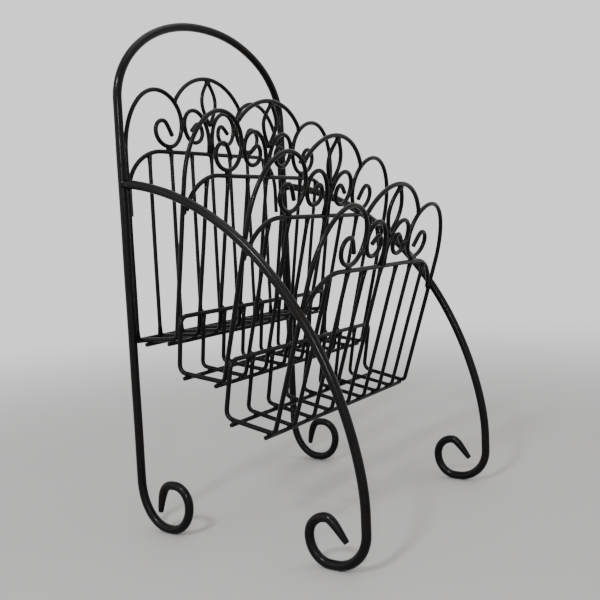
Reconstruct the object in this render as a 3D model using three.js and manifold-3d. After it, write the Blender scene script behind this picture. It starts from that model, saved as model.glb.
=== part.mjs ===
// A newspaper and magazine rack, welded from round steel rod of three sizes and painted black.
// A thick rod makes the tall back arch and the two bowed front legs, all ending in scrolled feet.
// Four panels stand between them, each in front of the last and each leaning further forward.
// A panel has a scrolled crest, a top rail and seven upright bars. The bars and side wires of the
// three front panels are bent back at the foot to make the pockets' floors, and those of the last
// two are bent up again to make the pockets' low back walls.
//
// Units are millimetres and +Z is up. The front faces -Y and X runs from side to side.
// The origin is on the ground, in the middle of the rack. Neighbouring pieces keep a small
// gap, GAP, where weld metal joins them.

import * as THREE from "three";
import { mergeVertices } from "three/addons/utils/BufferGeometryUtils.js";
import Module from "manifold-3d";

const wasm = await Module();
wasm.setup();

// ---- Rod stock: radii, and the number of flats that stand for each round rod ----

const ROD = 4;
const WIRE = 2.1;
const BAR = 1.9;
const ROD_SIDES = 8;
const WIRE_SIDES = 6;
const GAP = 0.3;
const SET_IN = 1.2; // how far a bar runs into the rail that it is welded to

// ---- Driving sizes ----

const LEG_X = 127; // middle of the rack to the centre of a leg
const ARCH_SPRING = 388.5; // height at which the back arch starts to curve
const ARCH_RISE = 81.5; // height of the arch above that
const FRONT_LEG_REACH = 234.5; // furthest the front legs stand forward of the back arch
const FRONT_LEG_TOP = 315.4; // height at which they meet the back legs
const BARS = 7; // upright bars in a panel
const TAIL = 5.5; // how far the cross wires under the pocket floors stand out past the side wires

// A panel's foot is forward of the back arch and at a height, and it leans forward in degrees.
// Its height runs up the slope, from the foot to the top rail, and its crest stands on that.
// The crests were bent by hand, so they differ a little.
const PANELS = [
  { forward: 0, foot: 174, lean: 0, height: 172.5, crest: 74.6 },
  { forward: 47, foot: 177, lean: 8, height: 144, crest: 72 },
  { forward: 98, foot: 142, lean: 13.9, height: 141.5, crest: 74.8 },
  { forward: 148, foot: 102, lean: 17.5, height: 136.5, crest: 75.8 },
];

// The pockets, each between a panel and the one behind it. The floor runs back from the panel's
// foot to the back corner. The low wall runs up from there to a lid wire, which touches the panel
// behind this far up its slope. The back pocket's floor ends at the back panel instead. Two cross
// wires run under each floor, these distances back from the foot.
const POCKETS = {
  2: { name: "back_pocket", crossWires: [5.2, 32] },
  3: { name: "middle_pocket", crossWires: [5.2, 40], back: [49.6, 148], lid: 21 },
  4: { name: "front_pocket", crossWires: [5.2, 41], back: [99, 112], lid: 21.5 },
};

// ---- Sizes that follow from them ----

const ROD_FLAT = ROD * Math.cos(Math.PI / ROD_SIDES); // centre of the rod to a flat
const BACK_Y = FRONT_LEG_REACH / 2; // the plane of the back arch
const SIDE_X = LEG_X - ROD - WIRE - GAP; // a panel's side wires stand just inside the legs
const PITCH = (2 * SIDE_X) / (BARS + 1);
const BUTT = WIRE + GAP; // from a wire's centre to the end of a piece that meets it
const BESIDE = 2 * WIRE + GAP; // between the centres of two wires that lie side by side

const PAINT = { color: 0x15120f, roughness: 0.38, metalness: 0.3 };

// ---- Curves ----

// A wire's centre line, drawn on a plane as lines, Bezier curves and quarter ellipses.
class Stroke {
  constructor(x, y) {
    this.curves = [];
    this.pen = new THREE.Vector2(x, y);
  }

  add(curve) {
    this.curves.push(curve);
    this.pen = curve.getPoint(1);
    return this;
  }

  line(x, y) {
    return this.add(new THREE.LineCurve(this.pen, new THREE.Vector2(x, y)));
  }

  bezier(...points) {
    const [a, b, end] = points.map(([x, y]) => new THREE.Vector2(x, y));
    return this.add(new THREE.CubicBezierCurve(this.pen, a, b, end));
  }

  // A quarter ellipse to (x, y). The pen leaves upright or level and arrives the other way.
  quarter(leaves, x, y) {
    const { x: fromX, y: fromY } = this.pen;
    const [centreX, centreY] = leaves === "upright" ? [x, fromY] : [fromX, y];
    const start = Math.atan2(Math.sign(fromY - centreY), Math.sign(fromX - centreX));
    const end = Math.atan2(Math.sign(y - centreY), Math.sign(x - centreX));
    const clockwise = Math.sin(end - start) < 0;
    const radii = [Math.abs(x - fromX), Math.abs(y - fromY)];
    return this.add(new THREE.EllipseCurve(centreX, centreY, ...radii, start, end, clockwise));
  }

  // Straight stretches through the points, with each corner rounded off this far to each side.
  bent(cuts, ...points) {
    const corners = points.map(([x, y]) => new THREE.Vector2(x, y));
    corners.slice(0, -1).forEach((corner, i) => {
      const before = this.pen.clone().sub(corner).setLength(cuts[i]).add(corner);
      const after = corners[i + 1].clone().sub(corner).setLength(cuts[i]).add(corner);
      this.line(before.x, before.y);
      this.add(new THREE.QuadraticBezierCurve(before, corner, after));
    });
    const end = corners.at(-1);
    return this.line(end.x, end.y);
  }

  // Quarter ellipses through the points in turn, the way a scroll is bent.
  scroll(leaves, ...points) {
    let next = leaves;
    for (const [x, y] of points) {
      this.quarter(next, x, y);
      next = next === "upright" ? "level" : "upright";
    }
    return this;
  }
}

// A line through space that is stepped along its stretches, not evenly.
class Stepped extends THREE.Curve {
  constructor(stretches) {
    super();
    this.stretches = stretches;
    this.steps = stretches.reduce((sum, stretch) => sum + stretch.steps, 0);
  }

  getPoint(t) {
    let step = t * this.steps;
    let index = 0;
    while (index < this.stretches.length - 1 && step > this.stretches[index].steps) {
      step -= this.stretches[index].steps;
      index += 1;
    }
    const stretch = this.stretches[index];
    return stretch.getPoint(Math.min(step / stretch.steps, 1));
  }

  getUtoTmapping(u) {
    return u;
  }
}

// A stroke in space. A curved stretch has enough steps to stay within 0.3 mm of its true line.
function inSpace(stroke, place) {
  const stretches = stroke.curves.map((curve) => ({
    steps: stepsFor(curve),
    getPoint: (t) => place(curve.getPoint(t)),
  }));
  return new Stepped(stretches);
}

// A symmetrical line, from its right half, which starts on the middle plane.
function mirrored(half) {
  const whole = new Stepped([{ steps: 2 * half.steps }]);
  whole.getPoint = (t) => {
    const point = half.getPoint(Math.abs(2 * t - 1));
    return t < 0.5 ? point.setX(-point.x) : point;
  };
  return whole;
}

function stepsFor(curve) {
  if (curve.isLineCurve) return 1;
  const radius = curve.getLength() / (Math.PI / 2);
  return Math.max(3, Math.round(Math.sqrt(radius)));
}

// ---- Solids ----

function section(radius, sides) {
  const corners = [];
  for (let i = 0; i < sides; i += 1) {
    const angle = ((i + 0.5) * 2 * Math.PI) / sides;
    corners.push(new THREE.Vector2(radius * Math.cos(angle), radius * Math.sin(angle)));
  }
  return new THREE.Shape(corners);
}

function tube(path, radius, steps = path.steps) {
  const sides = radius === ROD ? ROD_SIDES : WIRE_SIDES;
  return new THREE.ExtrudeGeometry(section(radius, sides), { steps, extrudePath: path });
}

function straight(from, to, radius) {
  return tube(new THREE.LineCurve3(from, to), radius, 1);
}

function solid(geometry) {
  const bare = geometry.clone();
  bare.deleteAttribute("normal");
  bare.deleteAttribute("uv");
  const merged = mergeVertices(bare, 1e-4);
  const vertProperties = merged.getAttribute("position").array;
  const triVerts = new Uint32Array(merged.index.array);
  return new wasm.Manifold(new wasm.Mesh({ numProp: 3, vertProperties, triVerts }));
}

// Tubes welded into one grid.
function welded(tubes) {
  const mesh = tubes.map(solid).reduce((sum, next) => sum.add(next)).getMesh();
  const geometry = new THREE.BufferGeometry();
  geometry.setAttribute("position", new THREE.BufferAttribute(mesh.vertProperties, 3));
  geometry.setIndex(new THREE.BufferAttribute(mesh.triVerts, 1));
  geometry.computeVertexNormals();
  return geometry;
}

function part(name, geometry) {
  const mesh = new THREE.Mesh(geometry, new THREE.MeshStandardMaterial(PAINT));
  mesh.name = name;
  return mesh;
}

function piece(name, radius, path) {
  return part(name, tube(path, radius));
}

// ---- How strokes are placed ----

// On an upright plane from front to back, where the first coordinate is the distance forward.
function frontToBack(x) {
  return (point) => new THREE.Vector3(x, BACK_Y - point.x, point.y);
}

// A point up a panel's slope and in front of its plane, as a distance forward and a height.
function offPanel({ forward, foot, lean }, up, inFront = 0) {
  const angle = THREE.MathUtils.degToRad(lean);
  return [
    forward + up * Math.sin(angle) + inFront * Math.cos(angle),
    foot + up * Math.cos(angle) - inFront * Math.sin(angle),
  ];
}

// On a panel's slope, with heights counted from its top rail.
function onPanel(panel, side = 1) {
  return (point) => {
    const [forward, height] = offPanel(panel, panel.height + point.y);
    return new THREE.Vector3(side * point.x, BACK_Y - forward, height);
  };
}

const SIDES = [
  ["left", -1],
  ["right", 1],
];

// The x of each upright bar, from left to right.
function barPositions() {
  return Array.from({ length: BARS }, (unused, i) => (i + 1) * PITCH - SIDE_X);
}

// ---- Frame: back arch and front legs ----

const TIP_LENGTH = 19; // the end of each foot is drawn down over this length
const TIP_SHARE = 0.6; // to this share of the rod's thickness

// How thick the rod is at each ring, for a rod with a tip at its end, or at both of them.
function tipShares(centres, atBothEnds) {
  const shares = centres.map(() => 1);
  const last = centres.length - 1;
  let distance = 0;
  for (let i = last; distance < TIP_LENGTH; i -= 1) {
    shares[i] = THREE.MathUtils.lerp(TIP_SHARE, 1, distance / TIP_LENGTH);
    if (atBothEnds) shares[last - i] = shares[i];
    distance += centres[i].distanceTo(centres[i - 1]);
  }
  return shares;
}

// A thick rod, whose rings are drawn in towards its centre line at the tips.
function framePiece(name, path, atBothEnds) {
  const geometry = tube(path, ROD);
  const centres = path.getSpacedPoints(path.steps);
  const shares = tipShares(centres, atBothEnds);
  const position = geometry.getAttribute("position");
  for (let i = 0; i < position.count; i += 1) {
    const vertex = new THREE.Vector3().fromBufferAttribute(position, i);
    const distances = centres.map((centre) => centre.distanceTo(vertex));
    const ring = distances.indexOf(Math.min(...distances));
    position.setXYZ(i, ...vertex.lerp(centres[ring], 1 - shares[ring]).toArray());
  }
  return part(name, geometry);
}

// One rod: up from the left foot, over the top and down to the right foot.
function backArch() {
  const top = new Stroke(0, ARCH_SPRING + ARCH_RISE).quarter("level", LEG_X, ARCH_SPRING);
  const leg = new Stroke(0, ARCH_SPRING)
    .line(0, 45)
    .scroll("upright", [30, ROD_FLAT])
    .line(34, ROD_FLAT)
    .scroll("level", [55.5, 28], [40, 45])
    .bezier([28.5, 45], [25.5, 42], [21.3, 18.2]);
  const over = inSpace(top, (point) => new THREE.Vector3(point.x, BACK_Y, point.y));
  const half = new Stepped([over, inSpace(leg, frontToBack(LEG_X))]);
  return framePiece("back_arch", mirrored(half), true);
}

function frontLeg([name, side]) {
  const stroke = new Stroke(ROD + 3 * GAP, FRONT_LEG_TOP)
    .bezier([165, 294.5], [FRONT_LEG_REACH + 1, 131], [FRONT_LEG_REACH, 46])
    .line(FRONT_LEG_REACH, 34)
    .scroll("upright", [205, ROD_FLAT])
    .line(201, ROD_FLAT)
    .scroll("level", [182, 25], [198, 41.8])
    .bezier([202.5, 41.8], [205, 39], [216.7, 23.7]);
  return framePiece("front_leg_" + name, inSpace(stroke, frontToBack(side * LEG_X)), false);
}

// ---- Crests. Heights are counted from the top rail. ----

const CREST_ARCH = { halfWidth: 61, endX: 49.3, endY: 50.8 };
const LEAF_UNDER_ARCH = 4.4; // from the arch's centre line down to the leaf's point

// A side wire turns in over a hump, curls into a scroll and ends in a short straight tail.
function sideScroll(stroke) {
  return stroke
    .line(SIDE_X, -4)
    .scroll("upright", [76, 57], [43, 28], [61.5, 5], [80, 19.5], [70, 29.2])
    .bezier([65.5, 29.2], [64, 26.5], [57.4, 15.2]);
}

// The volutes stand back to back on the middle of the top rail, each touching a hump.
function volute() {
  return new Stroke(BUTT, BUTT)
    .line(BUTT, 12)
    .scroll("upright", [24, 42], [43 - BESIDE, 27.5], [24.5, 10.6], [12.5, 20.5], [18.5, 29])
    .bezier([21, 29], [22.5, 27.5], [28.7, 21.8]);
}

// The middle arch is the top of an ellipse and spans from hump to hump.
function middleArch(top) {
  const { halfWidth, endX, endY } = CREST_ARCH;
  const end = Math.acos(endX / halfWidth);
  const rise = (top - endY) / (1 - Math.sin(end));
  const arc = [0, top - rise, halfWidth, rise];
  const stroke = new Stroke(0, 0);
  stroke.add(new THREE.EllipseCurve(...arc, end, Math.PI / 2, false));
  stroke.add(new THREE.EllipseCurve(...arc, Math.PI / 2, Math.PI - end, false));
  return stroke;
}

// Half of the pointed leaf under the middle arch. The halves are welded at the point.
function leafHalf(archTop) {
  const point = archTop - LEAF_UNDER_ARCH;
  return new Stroke(0, point)
    .bezier([6.5, point - 6], [11.6, point - 12.5], [10.2, 48.5])
    .bezier([8.8, 41], [4.5, 37], [1.75, 31]);
}

function crest(name, panel) {
  const arch = inSpace(middleArch(panel.crest), onPanel(panel));
  const halves = SIDES.map(([, side]) => inSpace(leafHalf(panel.crest), onPanel(panel, side)));
  return [
    ...SIDES.map(([sideName, side]) =>
      piece(`${name}_volute_${sideName}`, WIRE, inSpace(volute(), onPanel(panel, side))),
    ),
    piece(name + "_middle_arch", WIRE, arch),
    part(name + "_leaf", welded(halves.map((half) => tube(half, BAR)))),
  ];
}

// ---- Top rails ----

const RAIL_SHOULDER = 74; // the rail is level out to here
const RAIL_END = SIDE_X - BESIDE; // and ends inside the side wires
const RAIL_BEND = 36; // how far it drops in turning from level to upright
const RAIL_DROP = 31; // where the front panels' rails are cut off
const BACK_RAIL_DROP = 60; // the back panel's rail runs on down its side wires

function topRail(drop) {
  const arc = [RAIL_SHOULDER, -RAIL_BEND, RAIL_END - RAIL_SHOULDER, RAIL_BEND];
  const last = drop < RAIL_BEND ? Math.asin(1 - drop / RAIL_BEND) : 0;
  const half = new Stroke(0, 0).line(RAIL_SHOULDER, 0);
  half.add(new THREE.EllipseCurve(...arc, Math.PI / 2, last, true));
  if (drop > RAIL_BEND) half.line(RAIL_END, -drop);
  return half;
}

function railSag(x) {
  const past = Math.max(0, Math.abs(x) - RAIL_SHOULDER) / (RAIL_END - RAIL_SHOULDER);
  return { sag: RAIL_BEND * (1 - Math.sqrt(1 - past * past)), past };
}

// Where the top of a bar stops, under the rail at x.
function barTop(x) {
  const { sag, past } = railSag(x);
  return -sag - BUTT - 2 * past * BAR;
}

// ---- The back panel ----

// Its bars, top rail and bottom rail are one flat grille, which stands between the back legs.
function grille(name, panel) {
  const slope = onPanel(panel);
  const at = (x, height) => slope(new THREE.Vector2(x, height));
  const foot = -panel.height;
  const railEnd = LEG_X - ROD - GAP;
  const bars = barPositions().map((x) =>
    straight(at(x, foot), at(x, SET_IN - railSag(x).sag - WIRE), BAR),
  );
  const bottomRail = straight(at(-railEnd, foot), at(railEnd, foot), WIRE);
  const curvedRail = tube(mirrored(inSpace(topRail(BACK_RAIL_DROP), slope)), WIRE);
  return part(name, welded([bottomRail, curvedRail, ...bars]));
}

function backPanel(panel) {
  const sideWires = SIDES.map(([sideName, side]) => {
    const stroke = sideScroll(new Stroke(SIDE_X, BUTT - panel.height));
    return piece("panel_1_side_wire_" + sideName, WIRE, inSpace(stroke, onPanel(panel, side)));
  });
  return [...sideWires, grille("panel_1_grille", panel), ...crest("panel_1", panel)];
}

// ---- The other panels and the pockets behind them ----

const FOOT_BEND = 5; // how far from its corner a wire starts to bend at a panel's foot
const BAR_BEND = 6; // the same for the bars where a pocket's floor meets its wall
const SIDE_BEND = 8.5; // and for its side wires
const LID_BEND = 8;
const LID_OFF = 4.5; // from the middle of the bars behind to the middle of the lid
const WALL_SPREAD = 1.5; // a pocket's wall is this much wider to each side than the panels

// The corners of the pocket behind a panel, as distances forward and heights.
function pocketCorners(number) {
  const panel = PANELS[number - 1];
  const behind = PANELS[number - 2];
  const { back, lid } = POCKETS[number];
  const foot = new THREE.Vector2(panel.forward, panel.foot);
  if (back) {
    const top = new THREE.Vector2(...offPanel(behind, lid, LID_OFF));
    return { foot, back: new THREE.Vector2(...back), top };
  }
  return { foot, back: new THREE.Vector2(behind.forward, behind.foot) };
}

// The point this far from one point towards another.
function towards(from, to, distance) {
  return to.clone().sub(from).setLength(distance).add(from).toArray();
}

// A thin wire: the panel's bar, the pocket's floor and its wall in one.
function bentBar(number, x) {
  const panel = PANELS[number - 1];
  const { foot, back, top } = pocketCorners(number);
  const stroke = new Stroke(...offPanel(panel, panel.height + barTop(x)));
  if (top) {
    stroke.bent([FOOT_BEND, BAR_BEND], foot.toArray(), back.toArray(), towards(top, back, BUTT));
  } else {
    stroke.bent([FOOT_BEND], foot.toArray(), towards(back, foot, BUTT));
  }
  return inSpace(stroke, frontToBack(x));
}

// A side wire: from the tip of its scroll down to the foot, then back along the floor.
function sideWire(number, side) {
  const panel = PANELS[number - 1];
  const { foot, back, top } = pocketCorners(number);
  const scrolled = sideScroll(new Stroke(SIDE_X, FOOT_BEND - panel.height));
  const end = towards(back, foot, top ? SIDE_BEND + GAP : BUTT);
  const spread = top ? WALL_SPREAD / (foot.x - end[0]) : 0;
  const floor = new Stroke(...end).bent([FOOT_BEND], foot.toArray(), offPanel(panel, FOOT_BEND));
  floor.curves.pop();
  const place = (point) => {
    const outward = SIDE_X + spread * Math.max(0, foot.x - point.x);
    return frontToBack(side * outward)(point);
  };
  return new Stepped([inSpace(floor, place), inSpace(scrolled, onPanel(panel, side))]);
}

// The rim of a pocket's wall: up from both side wires and across at the top.
function hoop(number) {
  const { foot, back, top } = pocketCorners(number);
  const width = SIDE_X + WALL_SPREAD;
  const wall = back.distanceTo(top);
  const onWall = ({ x, y }) => {
    const [forward, height] = towards(back, top, wall + y);
    return new THREE.Vector3(x, BACK_Y - forward, height);
  };
  const lid = new Stroke(0, 0)
    .line(width - LID_BEND, 0)
    .quarter("level", width, -LID_BEND)
    .line(width, SIDE_BEND - wall);
  const corner = new Stroke(...towards(back, top, SIDE_BEND));
  const end = new THREE.Vector2(...towards(back, foot, SIDE_BEND));
  corner.add(new THREE.QuadraticBezierCurve(corner.pen, back, end));
  return mirrored(new Stepped([inSpace(lid, onWall), inSpace(corner, frontToBack(width))]));
}

// A thin wire under a pocket's floor, this far back from the foot.
function crossWire(name, number, distance) {
  const { foot, back } = pocketCorners(number);
  const [forward, height] = towards(foot, back, distance);
  const slope = foot.clone().sub(back).normalize();
  const under = WIRE + BAR + GAP;
  const at = new THREE.Vector2(forward + slope.y * under, height - slope.x * under);
  const stroke = new Stroke(-SIDE_X - TAIL, 0).line(SIDE_X + TAIL, 0);
  return piece(name, BAR, inSpace(stroke, ({ x }) => frontToBack(x)(at)));
}

function panelWithPocket(panel, number) {
  const name = "panel_" + number;
  const { name: pocket, back, crossWires } = POCKETS[number];
  const rail = mirrored(inSpace(topRail(RAIL_DROP), onPanel(panel)));
  const pieces = [
    ...crest(name, panel),
    piece(name + "_top_rail", WIRE, rail),
    ...barPositions().map((x, i) => piece(`${name}_bar_${i + 1}`, BAR, bentBar(number, x))),
    ...SIDES.map(([sideName, side]) =>
      piece(`${name}_side_wire_${sideName}`, WIRE, sideWire(number, side)),
    ),
    crossWire(pocket + "_front_cross_wire", number, crossWires[0]),
    crossWire(pocket + "_back_cross_wire", number, crossWires[1]),
  ];
  return back ? [...pieces, piece(pocket + "_hoop", WIRE, hoop(number))] : pieces;
}

// ---- The whole rack ----

function rack() {
  const group = new THREE.Group();
  const [backmost, ...others] = PANELS;
  group.add(backArch(), ...SIDES.map(frontLeg), ...backPanel(backmost));
  others.forEach((panel, i) => group.add(...panelWithPocket(panel, i + 2)));
  return group;
}

export default rack();
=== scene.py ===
"""The looks of the newspaper rack: round steel rod, bent, welded and painted satin black.

Every rod is swept again along the line that its CAD node follows, finely enough to be round,
with its cut ends, the fillets of its welds and the small unevenness of a hand-bent rod. Weld
beads bridge the gaps that the CAD solids keep. Strokes are drawn in millimetres, as the frame's
design is, and meshes are made in metres.
"""

import math

import bpy
import numpy as np
from mathutils import Matrix, Vector, noise


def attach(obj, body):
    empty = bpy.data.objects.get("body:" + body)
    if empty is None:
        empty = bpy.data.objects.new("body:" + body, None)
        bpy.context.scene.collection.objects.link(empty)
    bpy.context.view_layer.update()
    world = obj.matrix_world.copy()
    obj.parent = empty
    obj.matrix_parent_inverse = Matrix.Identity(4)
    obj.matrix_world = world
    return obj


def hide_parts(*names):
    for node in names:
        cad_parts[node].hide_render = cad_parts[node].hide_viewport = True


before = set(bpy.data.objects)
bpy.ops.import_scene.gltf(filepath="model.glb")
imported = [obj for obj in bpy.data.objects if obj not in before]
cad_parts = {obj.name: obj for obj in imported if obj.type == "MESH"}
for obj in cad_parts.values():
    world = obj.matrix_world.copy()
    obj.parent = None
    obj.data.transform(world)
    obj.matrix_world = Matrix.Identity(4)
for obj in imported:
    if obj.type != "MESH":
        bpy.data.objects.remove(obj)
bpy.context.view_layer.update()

MM = 0.001

# ---- Rod stock: radii, and how many sides each is swept with ----

ROD = 4
WIRE = 2.1
BAR = 1.9
SIDES_OF = {ROD: 28, WIRE: 18, BAR: 14}
GAP = 0.3  # between rods that touch, as in the frame

# ---- Sizes shared with the frame ----

LEG_X = 127
ARCH_SPRING = 388.5
ARCH_RISE = 81.5
FRONT_LEG_REACH = 234.5
FRONT_LEG_TOP = 315.4
BARS = 7
TAILS = {"left": 5.5, "right": 1.8}  # how far cross wires stand out past the side wires

# Each panel's distance in front of the back arch, the height of its foot off the floor, its lean
# forward in degrees, its length up the slope to its top rail, and its crest's above the rail.
PANELS = [
    {"forward": 0, "foot": 174, "lean": 0, "height": 172.5, "crest": 74.6},
    {"forward": 47, "foot": 177, "lean": 8, "height": 144, "crest": 72},
    {"forward": 98, "foot": 142, "lean": 13.9, "height": 141.5, "crest": 74.8},
    {"forward": 148, "foot": 102, "lean": 17.5, "height": 136.5, "crest": 75.8},
]

# The pocket behind each panel: how far back its cross wires are from the panel's foot, the back
# corner of its floor, as a distance forward and a height, and how far up the slope of the panel
# behind it its low wall ends.
POCKETS = {
    2: {"name": "back_pocket", "cross_wires": (5.2, 32)},
    3: {"name": "middle_pocket", "cross_wires": (5.2, 40), "back": (49.6, 148), "wall": 21},
    4: {"name": "front_pocket", "cross_wires": (5.2, 41), "back": (99, 112), "wall": 21.5},
}

BACK_Y = FRONT_LEG_REACH / 2
SIDE_X = LEG_X - ROD - WIRE - GAP
PITCH = 2 * SIDE_X / (BARS + 1)
BUTT = WIRE + GAP  # a wire's centre to what it lies against
BESIDE = 2 * WIRE + GAP  # between the centres of two wires side by side
SET_IN = 0.5 * WIRE  # a bar ends this far short of the centre of the wire that it is welded to
BAR_XS = [(i + 1) * PITCH - SIDE_X for i in range(BARS)]
HANDS = {"left": -1, "right": 1}

# ---- Camera ----

CAMERA_AT = (-0.66755, -0.42178, 0.27724)
CAMERA_AZIMUTH = -56.64
CAMERA_PITCH = -5.53
CAMERA_ROLL = -2.6
CAMERA_LENS = 49.92
CAMERA_SENSOR = 36


def make_camera():
    azimuth, pitch, roll = map(math.radians, (CAMERA_AZIMUTH, CAMERA_PITCH, CAMERA_ROLL))
    ahead = Vector(
        (
            -math.sin(azimuth) * math.cos(pitch),
            math.cos(azimuth) * math.cos(pitch),
            math.sin(pitch),
        )
    )
    level = Vector((math.cos(azimuth), math.sin(azimuth), 0))
    upright = level.cross(ahead)
    right = level * math.cos(roll) + upright * math.sin(roll)
    up = upright * math.cos(roll) - level * math.sin(roll)
    camera = bpy.data.objects.new("camera", bpy.data.cameras.new("camera"))
    camera.data.lens = CAMERA_LENS
    camera.data.sensor_width = CAMERA_SENSOR
    turn = Matrix((right, up, -ahead)).transposed().to_4x4()
    camera.matrix_world = Matrix.Translation(CAMERA_AT) @ turn
    bpy.context.scene.collection.objects.link(camera)
    bpy.context.scene.camera = camera


# ---- Strokes ----

LINE_STEP = 9  # about how far apart the points of a straight line are
SAME_PLACE = 0.001  # a line shorter than this adds no point
CURVE_STEP = 5
QUARTER_STEPS = 16
ARCH_STEPS = 48
BEND_STEPS = 10


def towards(start, end, distance):
    """The point this far from one point towards another."""
    start, end = np.array(start, float), np.array(end, float)
    return start + (end - start) * distance / np.linalg.norm(end - start)


class Stroke:
    """A centre line on a plane, drawn as lines, Bezier curves and quarter ellipses."""

    def __init__(self, x, y):
        self.points = [np.array((x, y), float)]

    def add(self, steps, place):
        """Adds points at equal steps of t, from just after 0 up to 1."""
        for i in range(steps):
            self.points.append(np.array(place((i + 1) / steps), float))
        return self

    def line(self, x, y):
        start = self.points[-1]
        end = np.array((x, y), float)
        length = np.linalg.norm(end - start)
        if length < SAME_PLACE:
            return self
        steps = max(1, round(length / LINE_STEP))
        return self.add(steps, lambda t: start + (end - start) * t)

    def bezier(self, a, b, end, steps=None):
        start = self.points[-1]
        a, b, end = (np.array(p, float) for p in (a, b, end))
        span = sum(np.linalg.norm(q - p) for p, q in ((start, a), (a, b), (b, end)))
        steps = steps or max(QUARTER_STEPS, round(span / CURVE_STEP))
        return self.add(
            steps,
            lambda t: start * (1 - t) ** 3
            + 3 * a * t * (1 - t) ** 2
            + 3 * b * t**2 * (1 - t)
            + end * t**3,
        )

    def quarter(self, leaves, x, y, steps=QUARTER_STEPS):
        """A quarter ellipse to (x, y) that leaves upright or level and arrives the other way."""
        from_x, from_y = self.points[-1]

        def upright(t):
            turn = t * math.pi / 2
            return x + (from_x - x) * math.cos(turn), from_y + (y - from_y) * math.sin(turn)

        def level(t):
            turn = t * math.pi / 2
            return from_x + (x - from_x) * math.sin(turn), y + (from_y - y) * math.cos(turn)

        return self.add(steps, upright if leaves == "upright" else level)

    def bent(self, cuts, *corners):
        """Straight stretches through the corners, each rounded off this far to each side."""
        for cut, corner, after in zip(cuts, corners, corners[1:]):
            last = self.points[-1]
            self.line(*towards(corner, last, cut))
            pull_in, pull_out = towards(corner, last, cut / 3), towards(corner, after, cut / 3)
            self.bezier(pull_in, pull_out, towards(corner, after, cut), BEND_STEPS)
        return self.line(*corners[-1])

    def scroll(self, leaves, *points):
        """Quarter ellipses from point to point, each leaving the way that the last arrived."""
        for x, y in points:
            self.quarter(leaves, x, y)
            leaves = "level" if leaves == "upright" else "upright"
        return self

    def across(self, side=1):
        """The stroke on a panel's own upright plane."""
        flat = np.array(self.points)
        return np.column_stack((side * flat[:, 0], 0 * flat[:, 0], flat[:, 1]))

    def front_to_back(self, x):
        """The stroke on an upright plane at x, its first coordinate running forward."""
        flat = np.array(self.points)
        return np.column_stack((0 * flat[:, 0] + x, BACK_Y - flat[:, 0], flat[:, 1]))


def there_and_back(half):
    """A symmetrical line from its right half, which starts on the middle plane."""
    return np.vstack((half[:0:-1] * (-1, 1, 1), half))


# ---- Swept rods ----

WANDER = {ROD: 0.35, WIRE: 0.3, BAR: 0.35}  # how far a rod strays from its line each way
WANDER_SPAN = 55
WANDER_SEED = 1
SEED_STEP = 7.31  # how far apart two rods are in the noise that bends them
CUT_ENDS = ("cut", "drawn")
EDGE_SHARE = 0.24  # how far a cut end's edge is worn round, as a share of the radius
EDGE_STEPS = 3
FLARE = {ROD: 0.12, WIRE: 0.35, BAR: 0.35}  # how much wider a rod is at a weld, as a share
FLARE_REACH = 1.3
TIP_LENGTH = 19  # a drawn end narrows over this length, to this share of its radius
TIP_SHARE = 0.6
TIP_POWER = 0.8
SKEW = (0.3, 0.9, 0.2)  # a direction that no rod starts along


def unit(rows):
    return rows / np.linalg.norm(rows, axis=-1, keepdims=True)


def arc_lengths(points):
    return np.concatenate(([0], np.cumsum(np.linalg.norm(np.diff(points, axis=0), axis=1))))


def wandered(points, radius, seed):
    """The small waves of a rod bent by hand, which die out at its ends."""
    along = arc_lengths(points)
    to_end = np.minimum(along, along[-1] - along)
    fade = np.clip(to_end / WANDER_SPAN, 0, 1)[:, None]
    row = seed * SEED_STEP
    waves = [noise.noise_vector(Vector((s / WANDER_SPAN, row, 0.5))) for s in along]
    return points + WANDER[radius] * fade * np.array(waves)


def carried_normals(tangents):
    """Normals that turn with the line and never twist about it."""
    first = np.cross(tangents[0], SKEW)
    normals = [first / np.linalg.norm(first)]
    for tangent in tangents[1:]:
        normal = normals[-1] - tangent * np.dot(normals[-1], tangent)
        normals.append(normal / np.linalg.norm(normal))
    return np.array(normals)


def sizes_along(points, radius, ends):
    """How wide the rod is at each point, as a share of its radius."""
    along = arc_lengths(points)
    sizes = np.ones(len(points))
    for kind, distance in zip(ends, (along, along[-1] - along)):
        if kind == "weld":
            sizes += FLARE[radius] * np.exp(-((distance / FLARE_REACH) ** 2))
        if kind == "drawn":
            drawn = np.clip(distance / TIP_LENGTH, 0, 1) ** TIP_POWER
            sizes *= TIP_SHARE + (1 - TIP_SHARE) * drawn
    return sizes


def worn_end(centre, ring, outward, edge):
    """Rings that round off a cut end, from its last full ring outward."""
    worn = []
    for step in range(1, EDGE_STEPS + 1):
        turn = step / EDGE_STEPS * math.pi / 2
        shrink = 1 - EDGE_SHARE * (1 - math.cos(turn))
        worn.append(centre + (ring - centre) * shrink + outward * edge * math.sin(turn))
    return worn


def skin(rings):
    """Vertices and faces over the rings, closed at each end by a fan of triangles."""
    count = len(rings[0])
    faces = []
    for ring in range(len(rings) - 1):
        a, b = ring * count, (ring + 1) * count
        for i in range(count):
            j = (i + 1) % count
            faces.append((a + i, a + j, b + j, b + i))
    middle = len(rings) * count
    last = middle - count
    for i in range(count):
        j = (i + 1) % count
        faces.append((middle, j, i))
        faces.append((middle + 1, last + i, last + j))
    return np.vstack((*rings, rings[0].mean(0), rings[-1].mean(0))), faces


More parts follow.
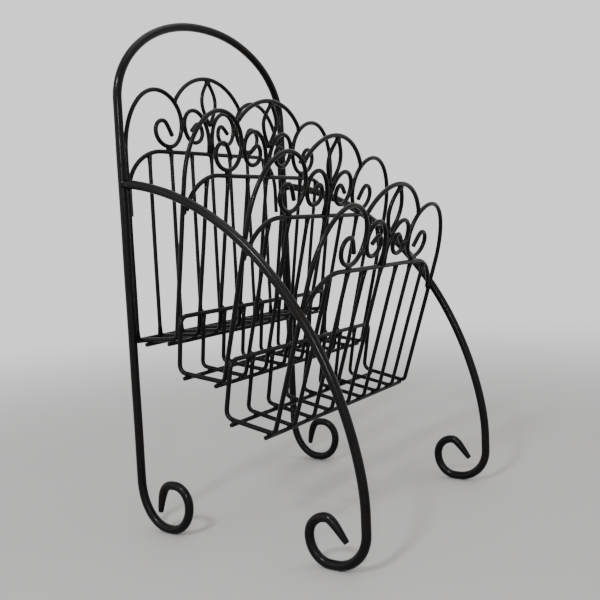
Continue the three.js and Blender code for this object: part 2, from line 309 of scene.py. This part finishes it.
def swept(points, radius, ends=("cut", "cut")):
    """Vertices and faces of a round rod. Each end is cut, with a worn edge, or is drawn down to
    a thinner tip first, or flares to a weld, or is joined: the wire runs on in another piece."""
    edges = [radius * EDGE_SHARE * (TIP_SHARE if kind == "drawn" else 1) for kind in ends]
    points = np.array(points, float)
    for index, inner, kind, edge in zip((0, -1), (1, -2), ends, edges):
        if kind in CUT_ENDS:
            points[index] += unit(points[inner] - points[index]) * edge
    steps = unit(np.diff(points, axis=0))
    tangents = unit(np.vstack((steps[:1], steps[:-1] + steps[1:], steps[-1:])))
    normals = carried_normals(tangents)
    sides = np.cross(tangents, normals)
    turns = np.arange(SIDES_OF[radius]) * 2 * math.pi / SIDES_OF[radius]
    rings = [
        centre + radius * size * (np.outer(np.cos(turns), n) + np.outer(np.sin(turns), b))
        for centre, size, n, b in zip(points, sizes_along(points, radius, ends), normals, sides)
    ]
    before, after = [], []
    if ends[0] in CUT_ENDS:
        before = worn_end(points[0], rings[0], -tangents[0], edges[0])[::-1]
    if ends[1] in CUT_ENDS:
        after = worn_end(points[-1], rings[-1], tangents[-1], edges[1])
    return skin(before + rings + after)


# ---- Pieces ----

rods = {}


def rod(node, path, radius, ends=("cut", "cut")):
    """A rod of the CAD node. The meshes are made at the end, once all the welds are placed."""
    bent = wandered(path, radius, sum(len(group) for group in rods.values()))
    rods.setdefault(node, []).append({"line": bent, "radius": radius, "ends": ends, "welds": []})


def make_piece(node):
    """One mesh, in metres, of a node's rods and the welds on them."""
    vertices, faces = [], []
    parts = []
    for entry in rods[node]:
        parts.append(swept(entry["line"], entry["radius"], entry["ends"]))
        parts.extend(entry["welds"])
    for part_vertices, part_faces in parts:
        start = len(vertices)
        vertices.extend(map(tuple, np.asarray(part_vertices) * MM))
        faces.extend(tuple(start + i for i in face) for face in part_faces)
    mesh = bpy.data.meshes.new(node + "_rod")
    mesh.from_pydata(vertices, [], faces)
    mesh.validate()
    mesh.shade_smooth()
    mesh.materials.append(paint)
    piece = bpy.data.objects.new(node + "_rod", mesh)
    bpy.context.scene.collection.objects.link(piece)
    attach(piece, "root")
    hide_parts(node)


# ---- Welds: a bead wherever two rods touch ----

REACH = 1.3  # rods whose surfaces are this near each other are welded
SAMPLE = 1.5  # how closely rods are searched for places where they touch
CROSSING = 1  # rods whose centre lines are nearer than this go through each other
ASIDE = (0.1, 0.2, 1)
LONG_CONTACT = 40  # rods that lie together for longer than this are welded at both ends of it
BEAD_RINGS = 8
BEAD_SIDES = 14
BEAD_LENGTH = 1.25  # a bead's half sizes, as shares of the thinner rod's radius
BEAD_DEPTH = 0.95
BEAD_WIDTH = 1.25
BEAD_LONGER, BEAD_NARROWER = 0.9, 0.25  # its change of size where the rods are parallel
BEAD_LUMPS = 0.22
LUMP_SCALE = 1.4
LUMP_STEP = 3.7  # how far apart two beads are in the noise that shapes them


def resampled(line, step):
    along = arc_lengths(line)
    places = np.linspace(0, along[-1], max(2, round(along[-1] / step)))
    return np.column_stack([np.interp(places, along, line[:, axis]) for axis in range(3)])


def direction_at(line, index):
    return unit(line[min(index + 1, len(line) - 1)] - line[max(index - 1, 0)])


def bead(one, other, seed):
    """A lump of weld metal between two rods. Each is given by its point that is nearest to the
    other, its direction there and its radius."""
    (p, along_p, radius_p), (q, along_q, radius_q) = one, other
    apart = q - p
    gap = np.linalg.norm(apart)
    parallel = abs(np.dot(along_p, along_q))
    towards_q = apart / gap if gap > CROSSING else unit(np.cross(along_p, ASIDE))
    along = unit(along_p + along_q * np.sign(np.dot(along_p, along_q) or 1))
    along = unit(along - towards_q * np.dot(along, towards_q))
    beside = np.cross(towards_q, along)
    centre = p + apart * (radius_p / (radius_p + radius_q))
    thin = min(radius_p, radius_q)
    length = thin * (BEAD_LENGTH + BEAD_LONGER * parallel**2)
    depth = thin * BEAD_DEPTH
    width = thin * (BEAD_WIDTH - BEAD_NARROWER * parallel)
    ball, faces = make_ball()
    vertices = []
    for x, y, z in ball:
        place = Vector((x * LUMP_SCALE + seed * LUMP_STEP, y * LUMP_SCALE, z * LUMP_SCALE))
        swell = 1 + BEAD_LUMPS * noise.noise(place)
        offset = x * length * along + y * depth * towards_q + z * width * beside
        vertices.append(centre + swell * offset)
    return np.array(vertices), faces


def make_ball():
    """A ball of radius 1, as rings about its x axis and a point at each end."""
    vertices, faces = [], []
    for ring in range(1, BEAD_RINGS):
        down = math.pi * ring / BEAD_RINGS
        for side in range(BEAD_SIDES):
            turn = 2 * math.pi * side / BEAD_SIDES
            y, z = math.sin(down) * math.cos(turn), math.sin(down) * math.sin(turn)
            vertices.append((math.cos(down), y, z))
    vertices += [(1, 0, 0), (-1, 0, 0)]
    for ring in range(BEAD_RINGS - 2):
        a, b = ring * BEAD_SIDES, (ring + 1) * BEAD_SIDES
        for i in range(BEAD_SIDES):
            j = (i + 1) % BEAD_SIDES
            faces.append((a + i, b + i, b + j, a + j))
    last = (BEAD_RINGS - 2) * BEAD_SIDES
    for i in range(BEAD_SIDES):
        j = (i + 1) % BEAD_SIDES
        faces.append((len(vertices) - 2, i, j))
        faces.append((len(vertices) - 1, last + j, last + i))
    return vertices, faces


def weld(one, other, seed):
    """Puts beads where two rods touch, on the thinner rod, and says how many it made."""
    touch = one["radius"] + other["radius"] + REACH
    a, b = one["sampled"], other["sampled"]
    if (a.min(0) - touch > b.max(0)).any() or (b.min(0) - touch > a.max(0)).any():
        return 0
    apart = np.linalg.norm(a[:, None] - b[None], axis=2)
    nearest = apart.min(1)
    close = np.flatnonzero(nearest < touch)
    if not len(close):
        return 0
    thinner = one if one["radius"] <= other["radius"] else other
    made = 0
    for run in np.split(close, np.flatnonzero(np.diff(close) > 1) + 1):
        spots = [run[np.argmin(nearest[run])]]
        if len(run) * SAMPLE > LONG_CONTACT:
            inset = len(run) // 8
            spots = [run[inset], run[-1 - inset]]
        for i in spots:
            j = int(np.argmin(apart[i]))
            on_one = a[i], direction_at(a, i), one["radius"]
            on_other = b[j], direction_at(b, j), other["radius"]
            thinner["welds"].append(bead(on_one, on_other, seed + made))
            made += 1
    return made


def weld_all():
    entries = [entry for group in rods.values() for entry in group]
    for entry in entries:
        entry["sampled"] = resampled(entry["line"], SAMPLE)
    count = 0
    for index, one in enumerate(entries):
        for other in entries[index + 1 :]:
            count += weld(one, other, count)


# ---- Frame: back arch and front legs ----


def make_back_arch():
    leg = (
        Stroke(0, ARCH_SPRING)
        .line(0, 45)
        .scroll("upright", (30, ROD))
        .line(34, ROD)
        .scroll("level", (55.5, 28), (40, 45))
        .bezier((28.5, 45), (25.5, 42), (21.3, 18.2))
    )
    top = Stroke(0, ARCH_SPRING + ARCH_RISE).quarter("level", LEG_X, ARCH_SPRING, ARCH_STEPS)
    half = np.vstack((top.across() + (0, BACK_Y, 0), leg.front_to_back(LEG_X)[1:]))
    rod("back_arch", there_and_back(half), ROD, ("drawn", "drawn"))


def make_front_leg(hand):
    stroke = (
        Stroke(ROD + GAP, FRONT_LEG_TOP)
        .bezier((165, 294.5), (FRONT_LEG_REACH + 1, 131), (FRONT_LEG_REACH, 46))
        .line(FRONT_LEG_REACH, 34)
        .scroll("upright", (205, ROD))
        .line(201, ROD)
        .scroll("level", (182, 25), (198, 41.8))
        .bezier((202.5, 41.8), (205, 39), (216.7, 23.7))
    )
    rod("front_leg_" + hand, stroke.front_to_back(HANDS[hand] * LEG_X), ROD, ("weld", "drawn"))


# ---- Panels. Heights in a crest are counted from the top rail. ----

CREST_HALF_WIDTH = 61
CREST_END = (49.3, 50.8)
LEAF_UNDER_ARCH = 4.4
VOLUTE_FOOT = 0.6 * WIRE
RAIL_SHOULDER = 74  # where a top rail starts to bend down
RAIL_WIDTH = SIDE_X - BESIDE - RAIL_SHOULDER
RAIL_BEND = 36
RAIL_DROP = 31
BACK_RAIL_DROP = 60
BACK_RAIL_INWARD, BACK_RAIL_BEHIND = 0.8, 3.4  # how far its ends are from their place in the CAD


def on_slope(points, panel, height=0):
    """Points of a panel's own upright plane, leaned forward and put in place."""
    lean = math.radians(panel["lean"])
    x, y, z = np.asarray(points, float).T
    z = z + height
    return np.column_stack(
        (
            x,
            y * math.cos(lean) - z * math.sin(lean) + BACK_Y - panel["forward"],
            y * math.sin(lean) + z * math.cos(lean) + panel["foot"],
        )
    )


def side_scroll(start):
    """A side wire up from this height, and the scroll that it is bent over into."""
    return (
        Stroke(SIDE_X, start)
        .line(SIDE_X, -4)
        .scroll("upright", (76, 57), (43, 28), (61.5, 5), (80, 19.5), (70, 29.2))
        .bezier((65.5, 29.2), (64, 26.5), (57.4, 15.2))
    )


def volute():
    """The right one of the pair that stands on the top rail, back to back."""
    return (
        Stroke(BUTT, VOLUTE_FOOT)
        .line(BUTT, 12)
        .scroll("upright", (24, 42), (43 - BESIDE, 27.5), (24.5, 10.6), (12.5, 20.5), (18.5, 29))
        .bezier((21, 29), (22.5, 27.5), (28.7, 21.8))
    )


def middle_arch(top):
    """An arch of half an ellipse, cut off where it meets the side scrolls."""
    end_x, end_y = CREST_END
    end = math.acos(end_x / CREST_HALF_WIDTH)
    rise = (top - end_y) / (1 - math.sin(end))
    steps = 4 * QUARTER_STEPS
    turns = [end + (math.pi - 2 * end) * i / steps for i in range(steps + 1)]
    return np.array(
        [(CREST_HALF_WIDTH * math.cos(t), 0, top - rise + rise * math.sin(t)) for t in turns]
    )


def leaf_half(top):
    """The right half of the leaf, from its point under the arch down to the volutes."""
    point = top - LEAF_UNDER_ARCH
    return (
        Stroke(0.9, point + 1)
        .bezier((6.5, point - 6), (11.6, point - 12.5), (10.2, 48.5))
        .bezier((8.8, 41), (4.5, 37), (1.2, 30.2))
    )


def top_rail(drop):
    """A top rail whose ends come down this far, and run straight down once the bend is done."""
    last = math.acos(max(0, 1 - drop / RAIL_BEND))
    half = Stroke(0, 0).line(RAIL_SHOULDER, 0)
    half.add(
        QUARTER_STEPS,
        lambda t: (
            RAIL_SHOULDER + RAIL_WIDTH * math.sin(t * last),
            RAIL_BEND * (math.cos(t * last) - 1),
        ),
    )
    if drop > RAIL_BEND:
        half.line(RAIL_SHOULDER + RAIL_WIDTH, -drop)
    return there_and_back(half.across())


def back_rail():
    """The back panel's top rail, whose ends run down behind its side wires."""
    rail = top_rail(BACK_RAIL_DROP)
    past = np.clip((abs(rail[:, 0]) - RAIL_SHOULDER) / RAIL_WIDTH, 0, 1)
    rail[:, 0] -= np.sign(rail[:, 0]) * BACK_RAIL_INWARD * past**2
    rail[:, 1] += BACK_RAIL_BEHIND * past**2
    return rail


def bar_top(x):
    """Where the bar at x ends, under the top rail."""
    past = max(0, abs(x) - RAIL_SHOULDER) / RAIL_WIDTH
    sag = RAIL_BEND * (1 - math.sqrt(1 - past * past))
    return -sag - SET_IN


def make_crest(name, panel, rail, rail_node):
    """The scrolls, leaf, arch and top rail of a panel."""
    height, crest = panel["height"], panel["crest"]
    for hand, side in HANDS.items():
        curl = on_slope(volute().across(side), panel, height)
        rod(f"{name}_volute_{hand}", curl, WIRE, ("weld", "cut"))
        leaf = on_slope(leaf_half(crest).across(side), panel, height)
        rod(f"{name}_leaf", leaf, BAR, ("weld", "weld"))
    rod(f"{name}_middle_arch", on_slope(middle_arch(crest), panel, height), WIRE)
    rod(rail_node, on_slope(rail, panel, height), WIRE)


def make_back_panel():
    panel = PANELS[0]
    height = panel["height"]
    make_crest("panel_1", panel, back_rail(), "panel_1_grille")
    for hand, side in HANDS.items():
        scroll = on_slope(side_scroll(SET_IN - height).across(side), panel, height)
        rod("panel_1_side_wire_" + hand, scroll, WIRE, ("weld", "cut"))
    end = LEG_X - ROD - GAP
    rod("panel_1_grille", on_slope(Stroke(-end, 0).line(end, 0).across(), panel), WIRE)
    for x in BAR_XS:
        upright = Stroke(x, SET_IN).line(x, height + bar_top(x))
        rod("panel_1_grille", on_slope(upright.across(), panel), BAR, ("weld", "weld"))


# ---- The other panels and the pockets behind them ----

FOOT_BEND = 5  # how far each bend runs to each side of its corner
BAR_BEND = 6
SIDE_BEND = 8.5
HOOP_BEND = 8
WALL_OFF = 4.5  # the top of a low wall is this far in front of the panel behind the pocket
WALL_SPREAD = 1.5  # a hoop stands this far outside the side wires at each side
UNDER_FLOOR = 0.9 * (WIRE + BAR)  # a cross wire's centre is this far under the floor's


def off_panel(panel, up, in_front=0):
    """A point up a panel's slope and in front of it, as a distance forward and a height."""
    lean = math.radians(panel["lean"])
    forward = panel["forward"] + up * math.sin(lean) + in_front * math.cos(lean)
    return np.array((forward, panel["foot"] + up * math.cos(lean) - in_front * math.sin(lean)))


def pocket_corners(number):
    """The foot, the back corner and the top of the low wall of the pocket behind a panel. The
    back pocket has no wall: its floor runs to the back panel's foot."""
    behind, pocket = PANELS[number - 2], POCKETS[number]
    foot = off_panel(PANELS[number - 1], 0)
    if "back" in pocket:
        return foot, np.array(pocket["back"], float), off_panel(behind, pocket["wall"], WALL_OFF)
    return foot, off_panel(behind, 0), None


def make_bar(number, index, x):
    panel = PANELS[number - 1]
    foot, back, top = pocket_corners(number)
    stroke = Stroke(*off_panel(panel, panel["height"] + bar_top(x)))
    if top is None:
        stroke.bent((FOOT_BEND,), foot, towards(back, foot, SET_IN))
    else:
        stroke.bent((FOOT_BEND, BAR_BEND), foot, back, towards(top, back, SET_IN))
    rod(f"panel_{number}_bar_{index + 1}", stroke.front_to_back(x), BAR, ("weld", "weld"))


def make_side_wire(number, hand):
    panel, side = PANELS[number - 1], HANDS[hand]
    foot, back, top = pocket_corners(number)
    end = towards(back, foot, SET_IN if top is None else SIDE_BEND)
    floor = Stroke(*end).bent((FOOT_BEND,), foot, off_panel(panel, FOOT_BEND))
    floor = floor.front_to_back(side * SIDE_X)[:-1]
    if top is not None:
        back_share = (floor[:, 1] - BACK_Y + foot[0]) / (foot[0] - end[0])
        floor[:, 0] += side * WALL_SPREAD * np.maximum(0, back_share)
    scroll = side_scroll(FOOT_BEND - panel["height"]).across(side)
    path = np.vstack((floor, on_slope(scroll, panel, panel["height"])))
    ends = ("weld" if top is None else "joined", "cut")
    rod(f"panel_{number}_side_wire_{hand}", path, WIRE, ends)


def make_hoop(number):
    """The wire round a low wall, which runs on at its lower corners as the side wires."""
    foot, back, top = pocket_corners(number)
    width = SIDE_X + WALL_SPREAD
    wall = np.linalg.norm(top - back)
    flat = Stroke(0, wall).line(width - HOOP_BEND, wall).quarter("level", width, wall - HOOP_BEND)
    flat.line(width, SIDE_BEND)
    on_wall = [(x, *towards(back, top, up)) for x, up in flat.points]
    half = np.array([(x, BACK_Y - forward, height) for x, forward, height in on_wall])
    corner = Stroke(*towards(back, top, SIDE_BEND)).bent(
        (SIDE_BEND,), back, towards(back, foot, SIDE_BEND)
    )
    half = np.vstack((half, corner.front_to_back(width)[1:]))
    rod(POCKETS[number]["name"] + "_hoop", there_and_back(half), WIRE, ("joined", "joined"))


def make_cross_wire(number, which, distance):
    """A wire under a pocket's floor, this far back from the panel's foot."""
    foot, back, _ = pocket_corners(number)
    slope = unit(foot - back)
    down = np.array((slope[1], -slope[0]))
    forward, height = towards(foot, back, distance) + UNDER_FLOOR * down
    wire = Stroke(-SIDE_X - TAILS["left"], height).line(SIDE_X + TAILS["right"], height)
    path = wire.across() + (0, BACK_Y - forward, 0)
    rod(f"{POCKETS[number]['name']}_{which}_cross_wire", path, BAR)


def make_panel(number):
    name = f"panel_{number}"
    make_crest(name, PANELS[number - 1], top_rail(RAIL_DROP), name + "_top_rail")
    for index, x in enumerate(BAR_XS):
        make_bar(number, index, x)
    for hand in HANDS:
        make_side_wire(number, hand)
    for which, distance in zip(("front", "back"), POCKETS[number]["cross_wires"]):
        make_cross_wire(number, which, distance)
    if "back" in POCKETS[number]:
        make_hoop(number)


# ---- Material ----

BLACK = (0.0024, 0.0026, 0.0031, 1)
BROWN = (0.0050, 0.0040, 0.0034, 1)
SHEEN = (0.17, 0.33)  # the least and the most roughness


def add_node(tree, kind, **inputs):
    """A shader node with some of its inputs set; an underscore in a name stands for a space."""
    node = tree.nodes.new(kind)
    for name, value in inputs.items():
        node.inputs[name.replace("_", " ")].default_value = value
    return node


def make_paint():
    """Satin black paint, a little brown in patches, with an uneven sheen and a fine grain."""
    material = bpy.data.materials.new("black_paint")
    material.use_nodes = True
    tree = material.node_tree
    link = tree.links.new
    shader = tree.nodes["Principled BSDF"]
    shader.inputs["Specular IOR Level"].default_value = 0.1
    place = add_node(tree, "ShaderNodeTexCoord")

    patches = add_node(tree, "ShaderNodeTexNoise", Scale=38, Detail=5, Roughness=0.6)
    link(place.outputs["Object"], patches.inputs["Vector"])
    tint = tree.nodes.new("ShaderNodeValToRGB")
    for element, position, colour in zip(tint.color_ramp.elements, (0.38, 0.72), (BLACK, BROWN)):
        element.position = position
        element.color = colour
    link(patches.outputs["Fac"], tint.inputs["Fac"])
    link(tint.outputs["Color"], shader.inputs["Base Color"])

    sheen = add_node(tree, "ShaderNodeTexNoise", Scale=120, Detail=3, Roughness=0.55)
    link(place.outputs["Object"], sheen.inputs["Vector"])
    rough = add_node(tree, "ShaderNodeMapRange", From_Min=0.3, From_Max=0.7)
    rough.inputs["To Min"].default_value, rough.inputs["To Max"].default_value = SHEEN
    link(sheen.outputs["Fac"], rough.inputs["Value"])
    link(rough.outputs["Result"], shader.inputs["Roughness"])

    peel = add_node(tree, "ShaderNodeTexNoise", Scale=900, Detail=2, Roughness=0.5)
    link(place.outputs["Object"], peel.inputs["Vector"])
    lumps = add_node(tree, "ShaderNodeTexNoise", Scale=170, Detail=2, Roughness=0.5)
    link(place.outputs["Object"], lumps.inputs["Vector"])
    coarse = add_node(tree, "ShaderNodeBump", Strength=0.12, Distance=0.0004)
    link(lumps.outputs["Fac"], coarse.inputs["Height"])
    fine = add_node(tree, "ShaderNodeBump", Strength=0.05, Distance=0.0001)
    link(peel.outputs["Fac"], fine.inputs["Height"])
    link(coarse.outputs["Normal"], fine.inputs["Normal"])
    link(fine.outputs["Normal"], shader.inputs["Normal"])
    return material


# ---- Floor and light ----

STUDIO = (1.21, 1.2, 1.19)
FLOOR_COLOUR = (0.3, 0.294, 0.29, 1)
FLOOR_REACH = 12
FADE_START, FADE_END = 0.35, 1.5  # how far from the rack's middle the floor fades
MIDDLE = (0, 0, 0.24)  # where the lights point
WHITE = (1, 1, 1)
COOL = (0.92, 0.96, 1)
WARM = (1, 0.99, 0.97)
FLASH_BEAM = 62  # degrees
FLASH_RADIUS = 0.03


def make_floor():
    mesh = bpy.data.meshes.new("floor")
    corners = [(x * FLOOR_REACH, y * FLOOR_REACH, 0) for x, y in ((-1, -1), (1, -1), (1, 1), (-1, 1))]
    mesh.from_pydata(corners, [], [(0, 1, 2, 3)])
    floor = bpy.data.objects.new("floor", mesh)
    bpy.context.scene.collection.objects.link(floor)
    floor.data.materials.append(make_floor_paint())


def make_floor_paint():
    """A pale matt floor that fades into the studio's own brightness, so it has no horizon."""
    material = bpy.data.materials.new("pale_floor")
    material.use_nodes = True
    tree = material.node_tree
    link = tree.links.new
    shader = tree.nodes["Principled BSDF"]
    shader.inputs["Base Color"].default_value = FLOOR_COLOUR
    shader.inputs["Roughness"].default_value = 0.6
    shader.inputs["Specular IOR Level"].default_value = 0.2
    glow = add_node(tree, "ShaderNodeEmission", Color=(*STUDIO, 1))
    place = add_node(tree, "ShaderNodeTexCoord")
    length = tree.nodes.new("ShaderNodeVectorMath")
    length.operation = "LENGTH"
    link(place.outputs["Object"], length.inputs[0])
    fade = add_node(tree, "ShaderNodeMapRange", From_Min=FADE_START, From_Max=FADE_END)
    fade.interpolation_type = "SMOOTHSTEP"
    link(length.outputs["Value"], fade.inputs["Value"])
    blend = tree.nodes.new("ShaderNodeMixShader")
    link(fade.outputs["Result"], blend.inputs["Fac"])
    link(shader.outputs["BSDF"], blend.inputs[1])
    link(glow.outputs["Emission"], blend.inputs[2])
    link(blend.outputs["Shader"], tree.nodes["Material Output"].inputs["Surface"])
    return material


def aim_light(lamp, at):
    light = bpy.data.objects.new(lamp.name, lamp)
    light.location = at
    light.rotation_euler = (Vector(MIDDLE) - Vector(at)).to_track_quat("-Z", "Y").to_euler()
    bpy.context.scene.collection.objects.link(light)


def make_light(name, at, size, watts, colour):
    lamp = bpy.data.lights.new(name, "AREA")
    lamp.shape = "RECTANGLE"
    lamp.size, lamp.size_y = size
    lamp.energy = watts
    lamp.color = colour
    aim_light(lamp, at)


def make_flash(name, at, watts, colour):
    lamp = bpy.data.lights.new(name, "SPOT")
    lamp.spot_size = math.radians(FLASH_BEAM)
    lamp.spot_blend = 1
    lamp.shadow_soft_size = FLASH_RADIUS
    lamp.energy = watts
    lamp.color = colour
    aim_light(lamp, at)


def make_lights():
    world = bpy.data.worlds.new("studio")
    world.use_nodes = True
    background = world.node_tree.nodes["Background"]
    background.inputs["Color"].default_value = (*STUDIO, 1)
    bpy.context.scene.world = world
    make_light("overhead", (0.2, -0.3, 1.9), (1.6, 1.6), 14, WHITE)
    make_light("ceiling_lamp", (-1.63, -0.1, 1.57), (0.22, 0.22), 34, WHITE)
    make_light("left_side", (-1.6, 0.9, 0.8), (1.0, 1.4), 5, COOL)
    make_flash("flash", (-0.86, -0.48, 0.48), 15, WARM)


# ---- The scene ----

make_camera()
paint = make_paint()
noise.seed_set(WANDER_SEED)
make_back_arch()
for hand in HANDS:
    make_front_leg(hand)
make_back_panel()
for number in POCKETS:
    make_panel(number)
weld_all()
for node in rods:
    make_piece(node)
make_floor()
make_lights()
